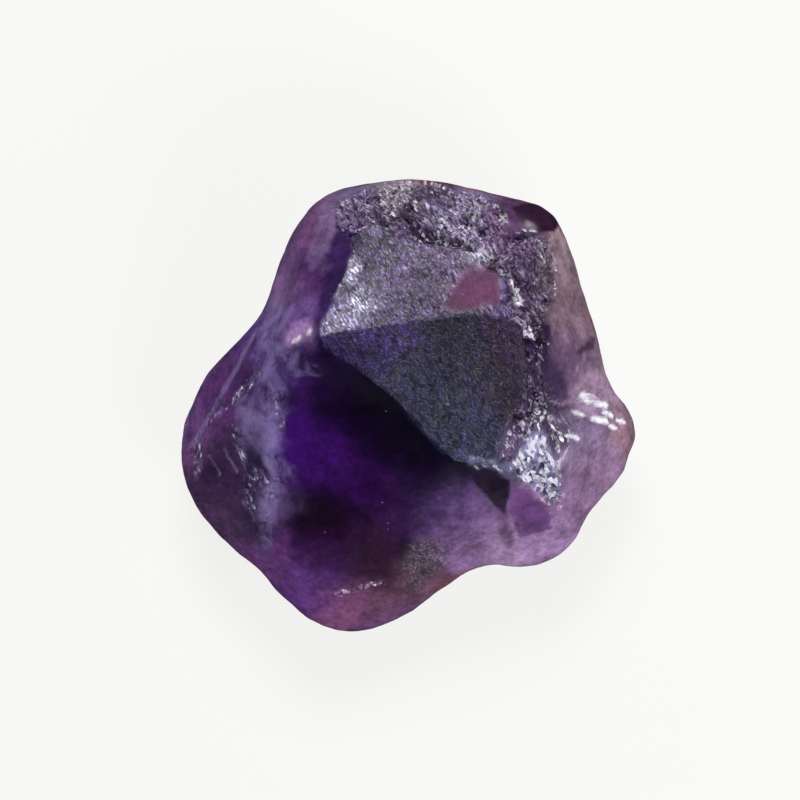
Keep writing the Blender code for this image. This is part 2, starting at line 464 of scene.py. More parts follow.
BODY_WASHES = (
    Wash("wedge in shade", "#331a50", 0.9, (SHADED_WEDGE,)),
    Wash("north east window", "#30142f", 1.0, (NORTH_EAST_WINDOW,), Edge.CRISP, "upper"),
    Wash("dark facet", "#22122a", 1.0, (DARK_FACET,), Edge.CRISP, "upper"),
    Wash("violet facet", "#6f4680", 1.0, (VIOLET_FACET,), Edge.CRISP, "upper"),
    Wash("seam", "#4a2c58", 0.55, (SEAM,)),
    Wash("silvery break", "#9c94b4", 0.3, (SILVER,), Edge.LOOSE),
    Wash("fold", "#2c2236", 0.7, (FOLD_SHADOW,), Edge.LOOSE),
    # Painted shadow: darkens the crevice on top of its real cut.
    Wash("crevice", "#180f1e", 0.85, (CREVICE,)),
    Wash("haze", "#8c7aa4", 0.4, (HAZE,), Edge.LOOSE),
    Wash("red glow of the thin rim", "#864a50", 0.7, RIM_GLOWS, Edge.CLOSE, "low"),
    Wash("south frost", "#655a66", 0.6, (SOUTH_FROST,), Edge.LOOSE),
    Wash("crescent", "#2c1430", 0.7, (CRESCENT,), Edge.CLOSE, "all over"),
    Wash("navy fibres", "#2c3152", 0.45, NAVY_FIBRES, Edge.CLOSE, "all over"),
    Wash("hairline cracks", "#8f78ac", 0.6, HAIRLINES, Edge.CRISP),
)
FACE_WASHES = (
    Wash("bright frost", "#c6c0dc", 1.0, FACE_HIGHLIGHTS, Edge.LOOSE, "all over"),
    Wash("grey frost", "#3a3743", 0.5, (FACE_SHADE,), Edge.LOOSE, "all over"),
    Wash("red window", "#5c2250", 1.0, (RED_WINDOW,), Edge.CLOSE, "face"),
)
TOP_WASHES = (
    Wash("bright knot", "#bdb6d2", 0.85, (FACE_EAST_HIGHLIGHT,), Edge.LOOSE, "upper"),
    Wash("bright chip", "#b58cc4", 0.85, (CHIP_HIGHLIGHT,), Edge.CLOSE, "upper"),
    Wash("ledge", "#6d7290", 0.7, (LEDGE,), Edge.CLOSE, "all over"),
    Wash("glints on the waves", "#f2eefa", 1.0, WAVE_GLINTS, Edge.EXACT),
    Wash("glints on chips", "#f4ecfa", 1.0, (*CHIP_GLINTS, SLIVER), Edge.CRISP, "all over"),
    # Partly painted highlight: a lighter mauve on the row of small rim chips, where they glint.
    Wash("chips of the rim", "#8a6a88", 0.6, (RIM_CHIPS,)),
)

# How strongly each zone counts for a share of the surface. A later share may build on an earlier one.
KNOCKED = {"north": 1.0, "east": 1.0, "cluster": 1.0}
WESTERN_BREAKS = {"west ridge": 0.6, "west chips": 0.6}
HACKLY = {"north": 1.0, "east": 1.0, "west ridge": 0.2, "west chips": 0.25, "rough under": 1.0}
SHARES = {
    "splintered": {"north": 1.0, "east": 1.0, "west ridge": 0.7, "west chips": 1.0, "rim chips": 1.0},
    "blocky": {"cluster": 1.0, "near lobe": 0.8, "slivers": 1.0},
    "etched": {"frosted face": 1.0, "south frost": 0.6},
    "dulled": {"crown": 1.0, "window": 0.2},
    "satin": {"etched": 0.6, "dulled": 0.6, "window": 1.6, "clear facets": 0.3, "splintered": 0.4},
    "shaded": {"blocky": 1.0, "splintered": 0.5, "etched": 0.8, "crown": 0.7},
    "leaning": {"blocky": 1.0, "splintered": 0.42, "etched": 0.4, "crown": 0.3},
    "glinting": {
        "north": 0.18, "east": 0.1, "near lobe": 0.3, "cluster": 0.56, "west ridge": 0.24,
        "west chips": 0.2, "rim chips": 0.3, "slivers": 0.6,
    },
}

Zones = dict[str, np.ndarray]
Plans = dict[Edge, np.ndarray]

BODY_TINTS = (
    Tint("break edge north", (-0.8, -1.7), 2.4, "#0c0519"),
    Tint("break edge south", (3.1, -5.0), 2.4, "#0a0416"),
    Tint("break shade", (-3.4, 2.0), 2.4, "#090216"),
    Tint("break shade south", (-2.6, -3.2), 2.2, "#10041c"),
    Tint("break shade west", (-5.8, -0.6), 2.0, "#0b0113"),
    Tint("break shade far west", (-7.4, 0.2), 1.5, "#0f041b"),
    Tint("glow west", (-8.9, -3.7), 2.7, "#3e0f68"),
    Tint("glow south", (-5.4, -6.4), 2.6, "#320c4e"),
    Tint("glow north", (-6.8, 3.2), 2.4, "#18062c"),
    Tint("glow upper west", (-10.4, 2.2), 2.4, "#320e50"),
    Tint("black heart", (-8.0, -10.4), 2.6, "#120610"),
    Tint("heart foot", (-7.8, -14.2), 2.6, "#341142"),
    Tint("violet foot", (-9.8, -17.9), 2.4, "#70408f"),
    Tint("south rim west", (-6.2, -20.6), 2.2, "#845078"),
    Tint("south rim mid", (-2.2, -20.1), 2.2, "#704a66"),
    Tint("south rim east", (1.7, -18.4), 2.2, "#6a4a5e"),
    Tint("south plum", (-2.7, -15.0), 2.6, "#30142e"),
    Tint("south dusk", (-0.8, -10.8), 2.2, "#38164a"),
    Tint("south mid", (3.8, -10.6), 2.4, "#664a80"),
    Tint("south bay", (6.1, -13.5), 2.4, "#8a6a98"),
    Tint("south upper", (1.4, -8.0), 2.2, "#24103a"),
    Tint("west rim north", (-19.0, 1.1), 2.4, "#663a7a"),
    Tint("west rim", (-21.5, -3.4), 2.0, "#74467c"),
    Tint("west rim south", (-20.5, -9.3), 2.4, "#5a3a62"),
    Tint("west foot", (-17.8, -12.4), 2.4, "#64446e"),
    Tint("west heart", (-17.2, -6.6), 2.4, "#442c52"),
    Tint("west hollow", (-14.9, -5.6), 1.4, "#261d40"),
    Tint("veil waist", (-14.3, -2.8), 1.4, "#7e6ca4"),
    Tint("veil shoulder", (-12.0, 3.4), 1.3, "#6c5298"),
    Tint("veil foot", (-11.8, -9.2), 1.2, "#604878"),
    Tint("west dusk", (-18.8, -7.2), 1.5, "#301c3e"),
    Tint("west shoulder", (-16.5, 2.0), 1.4, "#46285e"),
    Tint("west hollow south", (-14.9, -11.2), 1.6, "#2a2140"),
    Tint("toe west", (-14.2, -15.8), 2.2, "#7c468e"),
    Tint("north west rim", (-12.6, 12.0), 2.4, "#866496"),
    Tint("north west mid", (-9.8, 12.6), 2.0, "#563068"),
    Tint("north west inner", (-7.9, 12.9), 1.6, "#4e2264"),
    Tint("north west low", (-9.7, 8.6), 1.8, "#6a4a88"),
    Tint("north west top", (-8.6, 18.0), 2.2, "#744c7a"),
    Tint("north west waist", (-13.8, 7.0), 2.0, "#5e3e80"),
    Tint("north west ledge", (-3.7, 17.3), 1.3, "#4a3c5c"),
    Tint("north band west", (-5.6, 19.7), 1.8, "#6e6080"),
    Tint("north band", (-0.7, 21.2), 1.6, "#8a7c8c"),
    Tint("north band mid", (2.2, 19.2), 1.8, "#584766"),
    Tint("north band east", (6.6, 18.8), 1.8, "#7c6a8c"),
    Tint("north east ledge", (9.3, 18.3), 1.3, "#543458"),
    Tint("hackle knee", (10.2, 15.9), 1.3, "#785a82"),
    Tint("north east tip", (15.4, 17.2), 1.3, "#ac8e98"),
    Tint("east hackle north", (11.7, 14.3), 2.0, "#594664"),
    Tint("east hackle", (11.0, 10.6), 1.8, "#5a4664"),
    Tint("east hackle mid", (11.3, 5.8), 2.0, "#281638"),
    Tint("east hackle south", (12.6, 2.1), 2.0, "#3e2c4c"),
    Tint("east flank north", (15.9, 13.9), 1.8, "#907a82"),
    Tint("east flank", (16.9, 9.4), 2.0, "#826876"),
    Tint("east flank south", (17.8, 5.5), 2.0, "#846a82"),
    Tint("east hollow", (16.0, 4.3), 1.3, "#584060"),
    Tint("lobe north", (18.9, 1.8), 2.0, "#a0859e"),
    Tint("lobe tip", (21.3, -2.6), 1.8, "#92707e"),
    Tint("lobe mid", (17.7, -3.3), 2.4, "#836e90"),
    Tint("lobe east", (19.3, -6.3), 2.2, "#98789a"),
    Tint("lobe south east", (17.0, -9.2), 2.2, "#886a8e"),
    Tint("lobe south", (14.6, -13.2), 2.2, "#a682b0"),
    Tint("lobe shoulder", (10.8, -2.8), 1.7, "#5c4a6e"),
    Tint("lobe saddle", (13.4, -2.6), 1.3, "#40344e"),
    Tint("lobe west rim", (9.1, -14.6), 2.0, "#a688ae"),
)
FACE_TINTS = (
    # Painted highlight: the corner of the frosted face by the summit is tinted pale.
    Tint("face corner", (-7.2, 8.3), 2.0, "#a096bc"),
    Tint("face west", (-4.2, 10.6), 2.4, "#504868"),
    Tint("face middle", (0.0, 11.5), 3.0, "#64537a"),
    Tint("face south", (1.5, 9.8), 2.0, "#3a2a50"),
    Tint("face north", (-2.2, 15.4), 2.4, "#62527a"),
    Tint("face east", (4.5, 13.6), 2.2, "#655276"),
    Tint("face corner east", (9.2, 11.4), 1.2, "#645484"),
    Tint("face north west", (-4.8, 14.3), 1.7, "#382a50"),
)
CROWN_TINTS = (
    Tint("crown west", (-5.6, 5.6), 2.4, "#200c46"),
    Tint("crown north west", (-2.0, 6.8), 2.0, "#3c2862"),
    Tint("crown middle", (2.4, 3.0), 3.6, "#24223c"),
    Tint("crown north", (4.0, 7.2), 2.4, "#141028"),
    Tint("crown north east", (9.4, 6.6), 2.2, "#2c1838"),
    Tint("crown east", (9.8, 1.2), 2.2, "#22142e"),
    Tint("crown south", (6.0, -2.6), 2.6, "#272746"),
    Tint("crown edge", (-1.8, 1.0), 1.8, "#262244"),
)


# -------------------- the relief


class Make(Enum):
    """How a stretch of the stone's surface came about."""

    GLASSY = "a fresh conchoidal break"
    FROSTED = "a crystal face etched by solutions"
    HACKLY = "an edge knocked into small chips"
    RIPPLED = "a break with waves across it"


@dataclass(frozen=True)
class Chips:
    """Small flat breaks at random tilts that meet in sharp ridges, as where quartz has been knocked.

    Attributes:
        spacing: Mean width of a chip, in mm.
        slope: The steepest tilt, as rise over run.
        drop: How far one chip may sit below the next, in mm.
        grain: The plan direction that the chips are drawn out along.
        stretch: How many times longer than wide they are.
        seed: What the random tilts start from.
    """

    spacing: float
    slope: float
    drop: float
    grain: float
    stretch: float
    seed: int

    def lift(self, points: np.ndarray, edge: float) -> np.ndarray:
        """Works out the height of the chips at each point.

        Args:
            points: The surface's points in mm.
            edge: The mesh's edge length in mm.

        Returns:
            The height at each point in mm, about zero on average.
        """
        neighbours = 4
        sinking = 0.35  # of a chip's rise, by which the lowest planes lie below the mean
        rng = np.random.default_rng(self.seed)
        count = int(len(points) * (edge / self.spacing) ** 2 / self.stretch)
        middles = points[rng.choice(len(points), count, replace=False)]
        tree = kdtree.KDTree(count)
        for number, place in enumerate(along_grain(middles, self.grain, self.stretch)):
            tree.insert(place, number)
        tree.balance()
        squeezed = along_grain(points, self.grain, self.stretch)
        near = np.array([[found[1] for found in tree.find_n(p, neighbours)] for p in squeezed])
        slopes = rng.uniform(-self.slope, self.slope, (count, 3))
        heights = rng.uniform(-self.drop, self.drop, count)
        planes = ((points[:, None] - middles[near]) * slopes[near]).sum(axis=2) + heights[near]
        return planes.min(axis=1) + sinking * self.slope * self.spacing


@dataclass(frozen=True)
class Striae:
    """Fine ridges side by side, as growth and etching leave on a quartz face."""

    spacing: float
    height: float
    grain: float
    stretch: float

    def lift(self, points: np.ndarray, edge: float) -> np.ndarray:
        """Works out the height of the ridges at each point, in mm, none finer than the mesh can hold."""
        squeezed = along_grain(points, self.grain, self.stretch)
        return self.height * (1 - 2 * np.abs(cloud(squeezed, max(self.spacing, 1.5 * edge), 2)))


@dataclass(frozen=True)
class Swell:
    """Slow waves, which keep a break from being a perfect plane."""

    size: float
    height: float
    shift: float

    def lift(self, points: np.ndarray, edge: float) -> np.ndarray:
        """Works out the height of the waves at each point, in mm."""
        return self.height * cloud(points, max(self.size, edge), 3, self.shift)


Relief = Chips | Striae | Swell


@dataclass
class Stone:
    """The amethyst itself: one piece of quartz, with its relief and its colouring.

    Attributes:
        node: The name of the solid it stands for.
        voxel: The edge length of its fine mesh, in mm.
        softening: How many times the whole mesh is relaxed, which takes its steps away.
        wearing: How many more times it is relaxed away from the flat faces.
        evenness: How far the flat faces are spared the slow waves, from 0 to 1.
        hackle_depth: How far the knocked edges lie below the solid on average, in mm.
        ripple_depth: The same for the rippled break.
        crevice_depth: How deep the crevice is, in mm.
        limits: How far a point may go in and out, in mm.
        knocked_from: The share of a knocked zone from which a face is shaded flat.
        flank_violets: The two colours that the lower flanks are banded in.
        chip_violet: The colour of the small breaks in the west.
        cluster_grey: The colour between the brightest chips.
        reliefs: What each make of surface is built up from.
    """

    node: str = "amethyst"
    voxel: float = 0.25
    softening: int = 2
    wearing: int = 40
    evenness: float = 0.8
    hackle_depth: float = 0.3
    ripple_depth: float = 0.12
    crevice_depth: float = 0.65
    limits: tuple[float, float] = (-1.4, 0.12)
    knocked_from: float = 0.4
    flank_violets: tuple[str, str] = ("#4a2a66", "#7c5a92")
    chip_violet: str = "#6c5c8a"
    cluster_grey: str = "#7e7c9e"
    reliefs: dict[Make, tuple[Relief, ...]] = field(
        default_factory=lambda: {
            Make.GLASSY: (Swell(7.0, 0.22, 3.7), Swell(2.4, 0.06, 9.1)),
            Make.FROSTED: (Striae(0.5, 0.05, 120, 3.0), Chips(0.9, 0.10, 0.03, 120, 2.0, 5)),
            Make.HACKLY: (Chips(2.2, 0.42, 0.18, 120, 1.8, 11), Chips(1.0, 0.36, 0.08, 120, 1.8, 12)),
            Make.RIPPLED: (Chips(1.3, 0.40, 0.08, 150, 2.2, 21), Swell(1.6, 0.16, 5.5)),
        }
    )

    def build(self, solid: bpy.types.Object) -> bpy.types.Object:
        """Makes the stone from its solid.

        Args:
            solid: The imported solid, which is left as it is.

        Returns:
            The finished piece, with its colours as attributes and no material yet.
        """
        piece = self.fine_copy(solid)
        points, normals = self.points_of(piece)
        wander = np.stack([cloud(points, *way) for way in (WANDER, WANDER_ACROSS)], axis=1)
        plans = {edge: points[:, :2] + edge.value * wander for edge in Edge}
        zones = self.zones(points, normals, wander[:, 0], plans)
        lift = self.relief(points, zones)
        moved = SHADED_BREAK.trim(points + normals * lift[:, None])
        resting = points[:, 2] < FOOT
        moved[:, 2] = np.where(resting, points[:, 2], np.maximum(moved[:, 2], BASE_BAND[0]))
        piece.data.vertices.foreach_set("co", (moved * MM).astype(np.float32).ravel())
        self.facet(piece, self.strongest(zones, KNOCKED) > self.knocked_from)
        piece.data.update()
        self.paint(piece, zones, plans)
        self.finish_shares(piece, points, zones)
        return piece

    def fine_copy(self, solid: bpy.types.Object) -> bpy.types.Object:
        """Copies the solid, merges its loose triangles and remeshes it finely.

        Args:
            solid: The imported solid.

        Returns:
            The new object, whose faces are small and even.
        """
        bpy.ops.object.select_all(action="DESELECT")
        piece = solid.copy()
        piece.data = solid.data.copy()
        for key in [k for k in piece.keys() if k.startswith("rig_")]:
            del piece[key]
        piece.parent = None
        piece.name = "amethyst_chunk"
        bpy.context.scene.collection.objects.link(piece)
        piece.select_set(True)
        bpy.context.view_layer.objects.active = piece
        bpy.ops.object.mode_set(mode="EDIT")
        bpy.ops.mesh.select_all(action="SELECT")
        bpy.ops.mesh.remove_doubles(threshold=1e-6)
        bpy.ops.mesh.normals_make_consistent(inside=False)
        bpy.ops.object.mode_set(mode="OBJECT")
        remesh = piece.modifiers.new("fine mesh", "REMESH")
        remesh.mode = "VOXEL"
        remesh.voxel_size = self.voxel * MM
        bpy.ops.object.modifier_apply(modifier=remesh.name)
        bpy.ops.object.shade_smooth()
        self.wear(piece, "softened", 0.0, self.softening)
        self.wear(piece, "worn", 1.0, self.wearing)
        return piece

    def wear(self, piece: bpy.types.Object, name: str, spared: float, times: int) -> None:
        """Rounds the piece's edges, and spares those of its flat faces.

        Args:
            piece: The stone.
            name: What the group of worn points is called.
            spared: How far the flat faces and their edges are spared, from 0 to 1.
            times: How many times the mesh is relaxed.
        """
        levels = 10
        band = 1.6  # mm below a flat face, over which its sparing fades
        points, _ = self.points_of(piece)
        flat = np.max([f.cover(points, band) for f in (NORTH_FACE, NORTH_CORNER, CROWN_FACE)], axis=0)
        flat = flat * (1 - SHADED_WEDGE.cover(points[:, :2]))
        foot = 1 - smooth_step(0.3, 2.0, points[:, 2])
        share = np.clip(1 - spared * np.maximum(flat, foot), 0, 1)
        steps = np.round(share * levels).astype(int)
        group = piece.vertex_groups.new(name=name)
        for step in range(1, levels + 1):
            group.add(np.flatnonzero(steps == step).tolist(), step / levels, "REPLACE")
        relax = piece.modifiers.new(name, "SMOOTH")
        relax.factor = 0.5
        relax.iterations = times
        relax.vertex_group = name
        bpy.ops.object.modifier_apply(modifier=relax.name)

    def facet(self, piece: bpy.types.Object, knocked: np.ndarray) -> None:
        """Shades the knocked faces flat, so that the chips there keep sharp ridges.

        Args:
            piece: The stone.
            knocked: Whether each point is in a knocked zone.
        """
        corners = np.empty(len(piece.data.loops), np.int32)
        piece.data.loops.foreach_get("vertex_index", corners)
        starts = np.empty(len(piece.data.polygons), np.int32)
        piece.data.polygons.foreach_get("loop_start", starts)
        piece.data.polygons.foreach_set("use_smooth", ~knocked[corners[starts]])

    def points_of(self, piece: bpy.types.Object) -> tuple[np.ndarray, np.ndarray]:
        """Reads the piece's points and their normals.

        Args:
            piece: The stone.

        Returns:
            The points in mm, and the normals.
        """
        count = len(piece.data.vertices)
        points = np.empty(count * 3, np.float32)
        normals = np.empty(count * 3, np.float32)
        piece.data.vertices.foreach_get("co", points)
        piece.data.vertex_normals.foreach_get("vector", normals)
        return points.reshape(-1, 3).astype(float) / MM, normals.reshape(-1, 3).astype(float)

    def zones(self, points: np.ndarray, normals: np.ndarray, wander: np.ndarray, plans: Plans) -> Zones:
        """Finds which part of the stone each point belongs to.

        Args:
            points: The points in mm.
            normals: Their normals.
            wander: A slow noise at each point.
            plans: The plan places, strayed by each edge.

        Returns:
            For each zone's name, its share from 0 to 1 at each point.
        """
        close, loose = plans[Edge.CLOSE], plans[Edge.LOOSE]
        height = points[:, 2]
        upward = smooth_step(-0.05, 0.15, normals[:, 2])
        flank = 1 - smooth_step(*FLANK_BAND, height + 1.2 * wander)
        upper = upward * (1 - flank)
        crown = CROWN_FACE.cover(points)
        wedge = SHADED_WEDGE.cover(close) * upward
        north_faces = np.maximum(NORTH_FACE.cover(points), NORTH_CORNER.cover(points))
        face = north_faces * (1 - crown) * (1 - wedge)
        window = RED_WINDOW.cover(close) * face
        whole = 1 - NORTH_EAST_WINDOW.cover(close)
        lobe = LOBE_HACKLE.cover(close) * upward * (1 - crown)
        clear = [area.cover(plans[Edge.CRISP]) for area in CLEAR_FACETS]
        under = 1 - smooth_step(*UNDER_BAND, height + 1.5 * cloud(points, *UNDERSIDE))
        broken = smooth_step(-0.35, 0.12, cloud(points, *BREAKS))
        return {
            "all over": np.ones(len(points)),
            "base": 1 - smooth_step(*BASE_BAND, height),
            "upward": upward,
            "flank": flank,
            "banded": smooth_step(-0.5, 0.5, wander + 0.5 * cloud(points, *BANDING)),
            "upper": upper,
            "low": upper * (1 - smooth_step(*RIM_BAND, height)),
            "crown": crown,
            "face": face,
            "window": window,
            "frosted face": face * (1 - 0.85 * window),
            "clear facets": np.max(clear, axis=0) * upward,
            "slivers": STRIPED_SLIVER.cover(plans[Edge.EXACT]) * upward,
            "north": NORTH_HACKLE.cover(close) * upward * (1 - face) * whole,
            "east": EAST_HACKLE.cover(close) * upward * (1 - crown) * (1 - face) * whole,
            "lobe": lobe,
            "near lobe": lobe * (1 - smooth_step(*LOBE_BAND, close[:, 0])),
            "milky": np.max([veil.cover(loose) for veil in VEILS], axis=0) * upward * (1 - crown),
            "cluster": GLINT_CLUSTER.cover(plans[Edge.BROKEN]) * upward * (1 - crown),
            "west ridge": WEST_RIDGE.cover(close) * upward * broken,
            "west chips": np.max([line.cover(loose) for line in WEST_CHIPS], axis=0) * upward * broken,
            "rim chips": RIM_CHIPS.cover(close) * upward,
            "crevice": CREVICE.cover(close) * upward,
            "south frost": SOUTH_FROST.cover(loose) * upward,
            "rough under": 0.45 * under * smooth_step(-0.1, 0.35, cloud(points, *ROUGHENING)),
        }

    def strongest(self, zones: Zones, parts: dict[str, float]) -> np.ndarray:
        """Takes the largest of some zones at each point, each times how strongly it counts."""
        return np.maximum.reduce([strength * zones[name] for name, strength in parts.items()])

    def relief(self, points: np.ndarray, zones: Zones) -> np.ndarray:
        """Works out how far each point moves along its normal.

        Args:
            points: The points in mm.
            zones: What zones gave.

        Returns:
            The move of each point in mm, mostly inwards, and none on the base.
        """
        heights = {
            make: sum(layer.lift(points, self.voxel) for layer in layers)
            for make, layers in self.reliefs.items()
        }
        hackly = self.strongest(zones, HACKLY)
        frosted = np.maximum(zones["face"] * (1 - zones["window"]), 0.35 * zones["crown"])
        rippled = zones["lobe"] * (1 - hackly)
        lift = heights[Make.GLASSY] * (1 - self.evenness * np.maximum(zones["face"], zones["crown"]))
        lift = lift + heights[Make.FROSTED] * frosted
        lift = lift + (heights[Make.HACKLY] - self.hackle_depth) * hackly
        lift = lift + (heights[Make.RIPPLED] - self.ripple_depth) * rippled
        lift = lift - self.crevice_depth * zones["crevice"]
        return np.clip(lift, *self.limits) * (1 - zones["base"])

    def paint(self, piece: bpy.types.Object, zones: Zones, plans: Plans) -> None:
        """Writes the stone's colour to its mesh as an attribute.

        Args:
            piece: The stone.
            zones: What zones gave.
            plans: The plan places, strayed by each edge.
        """
        loose = plans[Edge.LOOSE]
        dark, light = (np.array(linear(violet)[:3]) for violet in self.flank_violets)
        colour = self.blend_tints(BODY_TINTS, loose)
        colour = self.mix(colour, self.mix(dark, light, zones["banded"]), zones["flank"])
        colour = self.wash(colour, BODY_WASHES, zones, plans)
        colour = self.over(colour, self.chip_violet, self.strongest(zones, WESTERN_BREAKS))
        colour = self.over(colour, self.cluster_grey, 0.85 * zones["cluster"])
        frosted = self.wash(self.blend_tints(FACE_TINTS, loose), FACE_WASHES, zones, plans)
        colour = self.mix(colour, frosted, zones["face"])
        colour = self.mix(colour, self.blend_tints(CROWN_TINTS, loose), zones["crown"])
        colour = self.wash(colour, TOP_WASHES, zones, plans)
        self.write(piece, "tint", np.hstack([colour, np.ones((len(colour), 1))]))

    def finish_shares(self, piece: bpy.types.Object, points: np.ndarray, zones: Zones) -> None:
        """Writes to the mesh how far each finish covers each point.

        Args:
            piece: The stone.
            points: Its points in mm, before the relief.
            zones: What zones gave.
        """
        shares = dict(zones)
        for name, parts in SHARES.items():
            shares[name] = self.strongest(shares, parts)
        shares["glinting"] = shares["glinting"] * (1 + 1.2 * cloud(points, *GLINTS))
        for name in (*SHARES, "milky"):
            self.write(piece, name, shares[name])

    def blend_tints(self, tints: tuple[Tint, ...], plan: np.ndarray) -> np.ndarray:
        """Blends the tints by how near each is.

        Args:
            tints: The tints, each at its place.
            plan: The plan places to colour.

        Returns:
            Linear red, green and blue at each place.
        """
        total = np.zeros((len(plan), 3))
        weights = np.full((len(plan), 1), 1e-9)
        for tint in tints:
            near = ((plan - np.array(tint.at)) ** 2).sum(axis=1, keepdims=True) / tint.reach**2
            weight = np.exp(-near) + 1e-3 / (1 + near) ** 3
            total += weight * np.array(linear(tint.colour)[:3])
            weights += weight
            log.debug("tinted the %s", tint.name)
        return total / weights

    def wash(
        self, colour: np.ndarray, washes: tuple[Wash, ...], zones: Zones, plans: Plans
    ) -> np.ndarray:
        """Lays washes over a colouring, one after another.

        Args:
            colour: The colour so far at each point.
            washes: What is laid over it.
            zones: What zones gave.
            plans: The plan places, strayed by each edge.

        Returns:
            The new colouring.
        """
        for wash in washes:
            for drawn in wash.drawn:
                share = wash.share * drawn.cover(plans[wash.edge]) * zones[wash.within]
                colour = self.over(colour, wash.colour, share)
            log.debug("washed the %s", wash.name)
        return colour

    def over(self, colour: np.ndarray, paint: str, share: np.ndarray) -> np.ndarray:
        """Lays one flat colour over the others by its share at each point."""
        return self.mix(colour, np.array(linear(paint)[:3]), share)

    def mix(self, low: np.ndarray, high: np.ndarray, share: np.ndarray) -> np.ndarray:
        """Mixes two colourings by the share of the second at each point."""
        return low + (high - low) * share[:, None]

    def write(self, piece: bpy.types.Object, name: str, values: np.ndarray) -> None:
        """Stores one value or colour for each point of the piece.

        Args:
            piece: The stone.
            name: The attribute's name.
            values: A value for each point, or four for a colour.
        """
        is_colour = values.ndim == 2
        made = piece.data.attributes.new(name, "FLOAT_COLOR" if is_colour else "FLOAT", "POINT")
        made.data.foreach_set("color" if is_colour else "value", values.astype(np.float32).ravel())


# -------------------- the finish


Socket = bpy.types.NodeSocket
Put = Callable[..., Socket]

# In a Mix node of colours, input 0 is the share, 6 and 7 are the two colours, and output 2 is the result.
COLOURS = {"output": 2, "data_type": "RGBA"}
GAINED = {**COLOURS, "blend_type": "MULTIPLY"}


@dataclass(frozen=True)
class Mark:
    """A kind of small mark or chip that lies one way on the surface.

    Attributes:
        length: Its length in mm.
        width: Its width in mm.
        turn: Its direction, in degrees from east.
        cut: The noise values where a mark begins and where it is full.
    """

    length: float
    width: float
    turn: float = -60.0
    cut: tuple[float, float] = (0.5, 0.7)

    def along(self, put: Put, places: Socket) -> Socket:
        """Turns and squeezes the places, so that a pattern read from them has the mark's shape.

        Args:
            put: Adds a node to the material.
            places: The surface's places in mm.

        Returns:
            The new places, in which a mark is 1 long and 1 wide.
        """
        scale = (self.length, self.width, self.width)
        links = {"Vector": places, "Rotation": (0.0, 0.0, math.radians(self.turn)), "Scale": scale}
        return put("Mapping", links, vector_type="TEXTURE")


